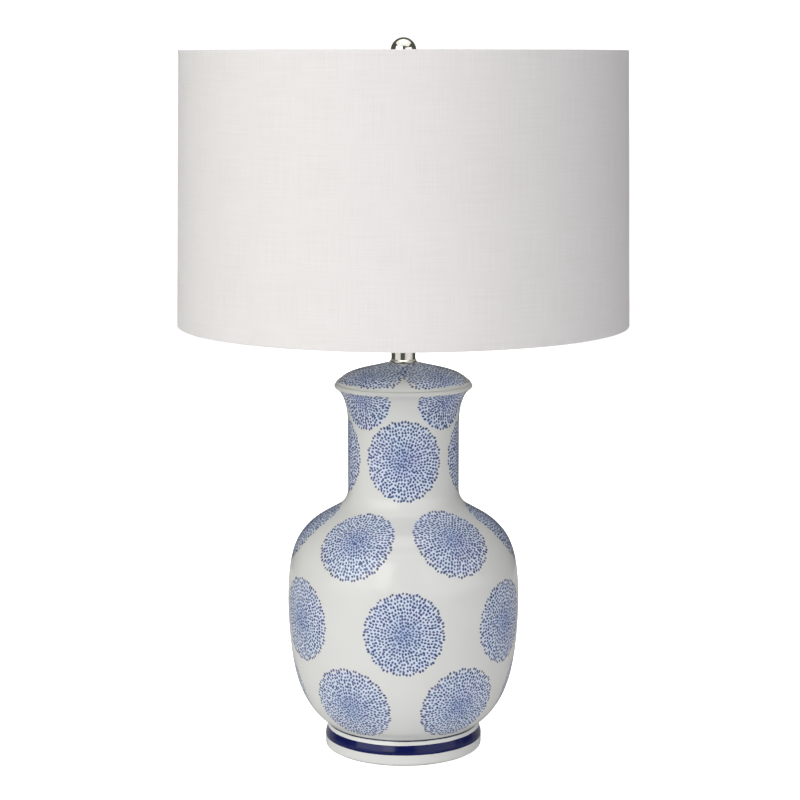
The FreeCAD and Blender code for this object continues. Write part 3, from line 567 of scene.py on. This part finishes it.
class Skin:
    """The glazed outside as a line that is turned about the axis, measured along its length."""

    def __init__(self, line):
        self.r, self.z = np.array(line).T
        self.along = np.concatenate([[0], np.cumsum(np.hypot(np.diff(self.r), np.diff(self.z)))])
        way_r, way_z = np.gradient(self.r, self.along), np.gradient(self.z, self.along)
        size = np.hypot(way_r, way_z)
        self.normal_r, self.normal_z = way_z / size, -way_r / size

    def at(self, along, values):
        """One of the line's values at a length along it."""
        return np.interp(along, self.along, values)

    def level(self, height):
        """The length along the line at a height."""
        return float(np.interp(height, self.z, self.along))

    def out(self, radius):
        """The length along the line at a radius, where the line runs outwards."""
        return float(np.interp(radius, self.r, self.along))

    def spots(self, angle, along, lift):
        """Places on the surface, lifted off it by a little."""
        side = -1 if self.r[0] < self.r[-1] and self.z[0] > self.z[-1] else 1
        radius = self.at(along, self.r) + side * lift * self.at(along, self.normal_r)
        height = self.at(along, self.z) + side * lift * self.at(along, self.normal_z)
        return around(radius, angle, height)

    def decal(self, angle, along, across, up):
        """Where points of a flat decal land, when its middle is pressed on at an angle and length."""
        middle_r = self.at(along, self.r)
        widening = self.at(along + 2 * MM, self.r) - self.at(along - 2 * MM, self.r)
        lean = widening / (4 * MM)
        if abs(lean) < 0.02:
            return angle + across / middle_r, along + up
        apex = middle_r / abs(lean)
        side = math.copysign(1, lean)
        reach = np.hypot(apex + side * up, across)
        landed = along + side * (reach - apex)
        return angle + np.arctan2(across, apex + side * up) * reach / self.at(landed, self.r), landed


def jar_outline():
    """The whole section of the jar, as a closed line: underside, outside, lip, inside and floor."""
    under = rounded([(ROD_HOLE_R, RECESS_TOP), (FOOT_INNER_R, RECESS_TOP, 3 * MM),
                     (FOOT_INNER_R, FELT_TOP, 1 * MM), (FOOT_INNER_R + 2 * MM, FELT_TOP)])
    outside = (evenly(foot_outline(), 0.8 * MM)[1:] + evenly(body_outline(), ROW_STEP)[1:]
               + evenly(neck_outline(), ROW_STEP)[1:-1] + lip_outline())
    inner_body = inset(body_outline(), JAR_WALL)
    mouth = (NECK_R - NECK_WALL, LIP_Z, 1.2 * MM)
    bend = (NECK_R - NECK_WALL, NECK_CORNER_Z + 9 * MM, NECK_FILLET)
    inside = rounded([lip_outline()[-1], mouth, bend, inner_body[-1]])
    inside += evenly(inner_body, 6 * MM)[-2::-1]
    return under[:-1] + outside + inside[1:] + [np.array([ROD_HOLE_R, inner_body[0][1]])]


def lid_section():
    """The lid as a closed line: dome, edge, seat, spigot and underside."""
    low = LIP_Z - SPIGOT_DEPTH
    inner_r = SPIGOT_R - SPIGOT_WALL
    under = rounded([(LID_EDGE_R - LID_EDGE_ROUND, LIP_Z), (SPIGOT_R, LIP_Z), (SPIGOT_R, low, 1 * MM),
                     (inner_r, low, 1 * MM), (inner_r, LID_TOP - LID_WALL - LID_UNDER_FALL, 2 * MM),
                     (ROD_HOLE_R, LID_TOP - LID_WALL), (ROD_HOLE_R, LID_TOP)])
    return lid_outline() + under[1:]


jar_skin = Skin(evenly(foot_outline(), 0.3 * MM)[:-1] + evenly(body_outline(), 0.5 * MM)[:-1]
                + evenly(neck_outline() + lip_outline()[1:], 0.4 * MM))
lid_skin = Skin(evenly(lid_outline(), 0.4 * MM))

# ---- brushwork ----------------------------------------------------------------------------------

DAB_LENGTH = 2.75 * MM
DAB_WIDTH = 2.1 * MM
DAB_LIFT = 0.04 * MM
DAB_RISE = 0.06 * MM
DAB_SIDES = 8
RINGS = 13                # rings of dabs in a medallion
LOBES = 19                # scallops round its edge
LOBE_DEPTH = 1.9 * MM
DAB_PITCH = 3.05 * MM     # from dab to dab along a ring

# Each row of medallions: its radius, how much narrower than high it is, and the angle and height
# of each middle, as they were put on by hand.
JAR_ROWS = [
    (37.5 * MM, 0.98, [(-29.2, 59.5), (31.5, 59.5), (90.5, 60), (151, 59), (-150, 60), (-90, 59)]),
    (37.5 * MM, 0.965, [(0.3, 131), (59.5, 130.5), (120, 132), (180, 131), (-120, 131), (-60.5, 132)]),
    (36.2 * MM, 0.965, [(-29.5, 207.5), (30.9, 209.5), (91, 208), (149, 209), (-149, 208), (-91, 208)]),
    (36.6 * MM, 0.95, [(0.5, 275), (92, 275), (180, 274), (-89.5, 275)]),
    (32 * MM, 1.0, [(-44, 332), (45, 332), (135, 331), (-135, 332)]),
]
LID_ROW = (35 * MM, 1.0, [(-45, 46.5), (45, 46.5), (135, 46.5), (-135, 46.5)])
LIP_CLEAR = 5.3 * MM      # bare glaze from the lip's top down its rounding
LID_CLEAR_R = 59.6 * MM   # bare glaze outside this radius on the lid
LID_CLEAR_INNER_R = 12.2 * MM


class Brushwork:
    """Dabs of colour laid on a skin, each a low dome, gathered into one mesh."""

    def __init__(self, skin, seed):
        self.skin = skin
        self.chance = random.Random(seed)
        self.spots = []
        self.tones = []

    def medallion(self, angle, along, radius, narrow, lowest, highest):
        """A dahlia of dabs: scalloped rings of petals round a dark middle."""
        turned = self.chance.uniform(0, 2 * math.pi)
        for ring in range(RINGS):
            share = ((ring + 0.25) / (RINGS - 0.75)) ** 1.1
            base = (radius - LOBE_DEPTH / 2) * share
            count = max(1, round(2 * math.pi * base / DAB_PITCH / (0.8 + 0.2 * share)))
            shift = self.chance.random()
            for n in range(count):
                way = 2 * math.pi * (n + shift) / count
                petal = abs(math.sin(LOBES / 2 * way + turned + ring // 3 * math.pi / 2))
                far = base + share * LOBE_DEPTH * (petal - 0.6) + self.chance.gauss(0, 0.22 * MM)
                way += self.chance.gauss(0, 0.28 * MM) / max(base, DAB_PITCH)
                across, up = narrow * far * math.cos(way), far * math.sin(way)
                landed = self.skin.decal(angle, along, across, up)[1]
                if lowest < landed < highest:
                    size = (0.86 + 0.14 * share) * self.chance.uniform(0.84, 1.16)
                    self.dab(angle, along, across, up, way + self.chance.gauss(0, 0.35), size)
                    self.tones.append(self.chance.uniform(0.55, 1.0))

    def dab(self, angle, along, across, up, lean, size):
        """One dab, as an egg-shaped fan of points round its raised middle."""
        turn = np.arange(DAB_SIDES) * 2 * math.pi / DAB_SIDES
        length = size * DAB_LENGTH / 2 * np.cos(turn)
        width = size * DAB_WIDTH / 2 * np.sin(turn) * (1 - 0.3 * np.cos(turn))
        out_u = across + length * math.cos(lean) - width * math.sin(lean)
        out_v = up + length * math.sin(lean) + width * math.cos(lean)
        angles, places = self.skin.decal(angle, along, np.append(out_u, across), np.append(out_v, up))
        lift = np.append(np.full(DAB_SIDES, DAB_LIFT), DAB_LIFT + DAB_RISE)
        self.spots.append(self.skin.spots(angles, places, lift))

    def finish(self, name, paint):
        """The mesh of all dabs so far, with each dab's strength of colour."""
        count = len(self.spots)
        corners = DAB_SIDES + 1
        faces = []
        for i in range(count):
            first, middle = i * corners, i * corners + DAB_SIDES
            for side in range(DAB_SIDES):
                faces.append((first + side, first + (side + 1) % DAB_SIDES, middle))
        piece = new_piece(name, np.concatenate(self.spots), faces)
        write_values(piece, "tone", np.repeat(self.tones, corners))
        piece.data.materials.append(paint)
        return piece


def wash(piece, skin, places, lowest, highest):
    """How much of the medallions' blue wash each vertex of the glaze takes, from 0 to 1."""
    spots = np.empty(len(piece.data.vertices) * 3)
    piece.data.vertices.foreach_get("co", spots)
    x, y, z = spots.reshape(-1, 3).T
    radius, angle = np.hypot(x, y), np.arctan2(x, -y)
    gap = np.hypot(radius[:, None] - skin.r[None, ::4], z[:, None] - skin.z[None, ::4])
    nearest = gap.argmin(axis=1)
    along = skin.along[::4][nearest]
    amount = np.zeros(len(x))
    for middle_angle, middle, size, narrow in places:
        turn = (angle - middle_angle + math.pi) % (2 * math.pi) - math.pi
        share = np.hypot(turn * radius / narrow, along - middle) / size
        core = 0.5 * np.clip(1 - 1.7 * share, 0, 1)
        amount = np.maximum(amount, np.clip((1.0 - share) / 0.1, 0, 1) * (0.3 + core))
    amount *= (along > lowest) & (along < highest) & (gap.min(axis=1) < 2.5 * MM)
    write_values(piece, "wash", amount)


def wobble(angle, seed):
    """How far a hand-drawn edge strays, in metres, round the lamp."""
    return 0.1 * MM * (np.sin(3 * angle + seed) + 0.6 * np.sin(8 * angle + 2 * seed)
                       + 0.4 * np.sin(19 * angle + 3 * seed))


def band(name, low_z, high_z, rows, paint, seed):
    """A brushed line round the foot, with slightly uneven edges."""
    columns = 2 * JAR_COLUMNS
    angles = np.arange(columns) * 2 * math.pi / columns
    low = jar_skin.level(low_z) + wobble(angles, seed)
    high = jar_skin.level(high_z) + wobble(angles, seed + 5)
    verts = []
    for i in range(rows + 1):
        edge = DAB_LIFT if 0 < i < rows else 0.0
        verts.append(jar_skin.spots(angles, low + (high - low) * i / rows, edge + 0.01 * MM))
    faces = ring_faces(rows + 1, columns, rows)
    piece = new_piece(name, np.concatenate(verts), faces)
    piece.data.materials.append(paint)
    return piece


def under_the_foot(spot):
    """Whether a spot of the jar is on the foot's rim or in the hollow under it."""
    within = math.hypot(spot.x, spot.y) < FOOT_INNER_R + 0.5 * MM
    return spot.z < FELT_TOP + 0.4 * MM or within and spot.z < RECESS_TOP + JAR_WALL + 3 * MM


def under_the_lid(spot):
    """Whether a spot of the lid is on its spigot, inside the jar's mouth."""
    return spot.z < LIP_Z - 1 * MM


def split_clay(piece, is_clay):
    """Gives the faces that hold no glaze the second material."""
    for face in piece.data.polygons:
        if is_clay(face.center):
            face.material_index = 1


glaze, cobalt, bisque = glaze_paint(), cobalt_paint(), bisque_paint()

jar = lathe("jar", jar_outline(), JAR_COLUMNS)
cut_hole(jar, CORD_HOLE_R, CORD_HOLE_Z, FOOT_INNER_R - 4 * MM, FOOT_R + 4 * MM)
jar.data.shade_smooth()
jar.data.materials.clear()
jar.data.materials.append(glaze)
jar.data.materials.append(bisque)
split_clay(jar, under_the_foot)
jar.data.set_sharp_from_angle(angle=math.radians(50))
jar_places = [(math.radians(angle), jar_skin.level(height * MM), radius, narrow)
              for radius, narrow, middles in JAR_ROWS for angle, height in middles]
jar_limits = (jar_skin.level(CREASE[1]) + 1.4 * MM, jar_skin.along[-1] - LIP_CLEAR)
wash(jar, jar_skin, jar_places, *jar_limits)
brush = Brushwork(jar_skin, 4)
for place in jar_places:
    brush.medallion(*place, *jar_limits)
jar_brushwork = brush.finish("jar_brushwork", cobalt)

lid = lathe("lid", lid_section(), JAR_COLUMNS)
lid.data.materials.append(glaze)
lid.data.materials.append(bisque)
split_clay(lid, under_the_lid)
lid.data.set_sharp_from_angle(angle=math.radians(50))
lid_places = [(math.radians(angle), lid_skin.out(middle_r * MM), LID_ROW[0], LID_ROW[1])
              for angle, middle_r in LID_ROW[2]]
lid_limits = (lid_skin.out(LID_CLEAR_INNER_R), lid_skin.out(LID_CLEAR_R))
wash(lid, lid_skin, lid_places, *lid_limits)
lid_brush = Brushwork(lid_skin, 9)
for place in lid_places:
    lid_brush.medallion(*place, *lid_limits)
lid_brushwork = lid_brush.finish("lid_brushwork", cobalt)

foot_band = band("foot_band", 10.8 * MM, 19.4 * MM, 10, navy_paint(), 1)
crease_line = band("crease_line", 22.6 * MM, 24.4 * MM, 3, line_paint(), 2)

for piece in (jar, jar_brushwork, foot_band, crease_line):
    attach(piece, "base")
    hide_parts("jar_body")
for piece in (lid, lid_brushwork):
    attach(piece, "base")
    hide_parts("jar_lid")


def make_felt():
    """The felt ring under the foot, with soft edges."""
    low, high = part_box("base_felt")
    outer, inner = high.x, FOOT_INNER_R + 1.8 * MM
    middle, soft = (outer + inner) / 2, 0.3 * MM
    section = rounded([(middle, low.z), (outer, low.z, soft), (outer, high.z, soft),
                       (inner, high.z, soft), (inner, low.z, soft), (middle, low.z)], 3)

    def fuzz(radius, height, angle):
        stray = 0.12 * MM * np.sin(37 * angle + 3 * np.sin(11 * angle))
        return radius + stray * (height > low.z + 0.2 * MM), height

    felt = lathe("felt_ring", section[:-1], 288, shape=fuzz)
    felt.data.materials.append(felt_paint())
    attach(felt, "base")
    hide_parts("base_felt")


make_felt()

# ---- bulb ---------------------------------------------------------------------------------------


def make_bulb():
    """The frosted glass of a pear-shaped bulb: a ball that draws in to a straight neck."""
    low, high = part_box("bulb_glass")
    ball_r = high.x
    ball = arc((0, high.z - ball_r), ball_r, BULB_BALL_START, 90, 30)
    ball[-1] = np.array([0.0, high.z])
    neck_top = (BULB_NECK_R, low.z + BULB_NECK_RISE)
    flank = spline([neck_top, ball[0]], heading(90), heading(90 + BULB_BALL_START), 16)
    outside = [np.array([BULB_NECK_R, low.z])] + flank + ball[1:]
    inside = inset(outside, BULB_WALL)
    inside[-1] = np.array([0.0, high.z - BULB_WALL])
    bulb = lathe("bulb", outside + inside[::-1], 72)
    close_poles(bulb)
    bulb.data.materials.append(SLOT_PAINTS["bulb_glass"])
    bulb.data.set_sharp_from_angle(angle=math.radians(50))
    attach(bulb, "bulb")
    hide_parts("bulb_glass")


make_bulb()

# ---- shade --------------------------------------------------------------------------------------

SHADE_COLUMNS = 360
LAP_WIDTH = 13 * MM
LAP_STEP = 0.45 * MM


def shade_spot(inwards, down, at_top):
    """A point measured inwards from the linen's face and away from the shade's edge."""
    height = SHADE_TOP_Z - down if at_top else SHADE_BOTTOM_Z + down
    return SHADE_BOTTOM_R - (height - SHADE_BOTTOM_Z) * SHADE_LEAN - inwards, height


def hem(at_top):
    """The linen's fold round a ring, from its face over the edge to the liner, and back along itself."""
    around_wire = RING_WIRE_R + GLUE
    inner = LINEN + LINER + 2 * GLUE
    wire_in = inner + RING_WIRE_R
    wire_down = LINEN + GLUE + RING_WIRE_R
    far = wire_in + around_wire + LINEN
    corners = [(0, 0, 0.5 * MM), (far, 0, around_wire + LINEN - 0.1 * MM),
               (far, wire_down + around_wire + LINEN, 1.6 * MM),
               (inner + LINEN, wire_down + 2.6 * around_wire, 0.8 * MM), (inner + LINEN, HEM_DEPTH),
               (inner, HEM_DEPTH), (inner, wire_down + 1.9 * around_wire, 0.4 * MM),
               (wire_in + around_wire, wire_down + around_wire, 0.9 * MM),
               (wire_in + around_wire, LINEN, around_wire - 0.1 * MM), (LINEN, LINEN)]
    return [shade_spot(corner[0], corner[1], at_top) + tuple(corner[2:]) for corner in corners]


def linen_section():
    """The cover's section as a closed line: face, upper hem, back and lower hem."""
    middle = shade_spot(0, (SHADE_TOP_Z - SHADE_BOTTOM_Z) / 2, True)
    corners = [middle] + hem(True) + hem(False)[::-1] + [middle]
    line = rounded(corners, 4)
    filled = []
    for here, onward in zip(line, line[1:]):
        parts = max(1, math.ceil(np.linalg.norm(onward - here) / (8 * MM)))
        filled += [here + (onward - here) * i / parts for i in range(parts)]
    return filled


def drawn(radius, height, angle):
    """The lap at the back stands out, and the cloth strays a little from true."""
    back = np.where(angle > math.pi, angle - math.pi, math.pi - angle) * radius
    lap = np.clip((LAP_WIDTH / 2 - back) / (0.5 * MM), 0, 1) * LAP_STEP
    face = SHADE_BOTTOM_R - (height - SHADE_BOTTOM_Z) * SHADE_LEAN
    on_face = (radius > face - LINEN / 2) * 1.0
    sway = 0.12 * MM * np.sin(5 * angle + 30 * height) * np.sin(9 * angle - 17 * height)
    below_top = np.clip((SHADE_TOP_Z - height) / (20 * MM), 0, 1)
    return radius + on_face * lap + sway * below_top, height


def weave_map(piece, section, columns):
    """Coordinates along the threads, in metres: round the shade and along the section."""
    spots = np.array(section)
    along = np.concatenate([[0], np.cumsum(np.linalg.norm(np.diff(spots, axis=0), axis=1))])
    total = along[-1] + np.linalg.norm(spots[0] - spots[-1])
    along = np.append(along, total)
    layer = piece.data.uv_layers.new(name="weave")
    half = columns // 2
    for face in piece.data.polygons:
        row, column = divmod(face.index, columns)
        for corner, (over, up) in zip(face.loop_indices, ((0, 0), (1, 0), (1, 1), (0, 1))):
            turn = (column + over - half) / columns * 2 * math.pi
            if column < half:
                turn += 2 * math.pi
            layer.data[corner].uv = (turn * SHADE_BOTTOM_R, along[row + up])


def make_shade():
    """The linen cover, one sheet that is stretched over liner and rings."""
    section = linen_section()
    linen = lathe("shade_cover", section, SHADE_COLUMNS, shape=drawn)
    weave_map(linen, section, SHADE_COLUMNS)
    linen.data.materials.append(linen_paint())
    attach(linen, "shade")
    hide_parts("shade_linen")


make_shade()

# ---- studio -------------------------------------------------------------------------------------

TABLE_HALF = 0.9
FLOOR_R = 5.0
WALL_BEND = 3.0
WALL_TOP = 9.0
LAMP_MIDDLE = (0, 0, 0.35)    # what the lights are turned to
WARM = (1.0, 0.985, 0.97)
COOL = (0.97, 0.95, 1.0)
SKY = (1, 1, 0.97)
AMBIENT = (0.9, 0.9, 0.85, 1)
AMBIENT_STRENGTH = 0.12


def paper_paint(glow):
    """Pale matt paper that glows a little."""
    paint = Paint("paper", (0.9, 0.9, 0.9), 0.9, Emission_Color=(1, 1, 1, 1), Emission_Strength=glow)
    paint.put("Roughness", paint.span(paint.noise(3), 0.85, 0.95))
    return paint.material


def make_table():
    """The table top that throws light back up at the lamp. The floor lies over it in the picture."""
    table = square("table", TABLE_HALF, -1 * MM)
    table.data.materials.append(paper_paint(0.0))
    table.visible_camera = False


def make_floor():
    """The pale floor and the wall it sweeps up into all round, as they show in the picture."""
    bend = arc((FLOOR_R, WALL_BEND), WALL_BEND, -80, 0, 8)
    outline = [(1 * MM, 0), (FLOOR_R, 0)] + bend + [(FLOOR_R + WALL_BEND, WALL_TOP)]
    floor = lathe("floor", outline, 64, closed=False)
    floor.data.materials.append(paper_paint(1.0))
    floor.visible_diffuse = False
    floor.visible_glossy = False
    floor.visible_shadow = False


def soft_light(name, place, width, tall, power, colour, lights=True, mirrored=True):
    """A soft box turned to the lamp's middle. It may light the pieces, be mirrored in them, or both."""
    data = bpy.data.lights.new(name, "AREA")
    data.shape = "RECTANGLE"
    data.size, data.size_y = width, tall
    data.energy = power
    data.color = colour
    light = bpy.data.objects.new(name, data)
    light.location = place
    view = Vector(LAMP_MIDDLE) - light.location
    light.rotation_euler = view.to_track_quat("-Z", "Y").to_euler()
    light.visible_camera = False
    light.visible_diffuse = lights
    light.visible_glossy = mirrored
    bpy.context.scene.collection.objects.link(light)


def standing(angle, distance, height):
    """A place in the studio, by its angle round the lamp from the front."""
    turn = math.radians(angle)
    return distance * math.sin(turn), -distance * math.cos(turn), height


def make_studio():
    """Floor, table and soft boxes, each with its place, width, height, watts and colour."""
    make_floor()
    make_table()
    soft_light("key", standing(-43, 2.4, 1.2), 2.9, 1.9, 46.5, WARM)
    soft_light("key_edge", standing(-20, 2.4, 1.2), 0.8, 1.9, 6, WARM)
    soft_light("fill", standing(50, 2.4, 0.85), 3.0, 1.6, 23, COOL)
    soft_light("ceiling", (0, -0.2, 2.7), 1.8, 1.6, 9, WARM)
    soft_light("back", standing(180, 2.6, 1.1), 1.4, 1.8, 22, WARM, mirrored=False)
    soft_light("front_low", standing(0, 2.6, 0.3), 0.9, 0.45, 2.0, WARM, mirrored=False)
    soft_light("low_left", standing(-56, 2.0, 0.12), 2.1, 0.3, 1.9, WARM, lights=False)
    soft_light("low_right", standing(55, 2.0, 0.12), 3.5, 0.3, 2.3, WARM, lights=False)
    soft_light("overhead", (0, -0.42, 2.6), 4.5, 3.2, 58, SKY, lights=False)
    world = bpy.data.worlds.new("studio")
    world.use_nodes = True
    background = world.node_tree.nodes["Background"]
    background.inputs["Color"].default_value = AMBIENT
    background.inputs["Strength"].default_value = AMBIENT_STRENGTH
    bpy.context.scene.world = world
    bpy.context.scene.view_settings.view_transform = "Standard"


make_studio()
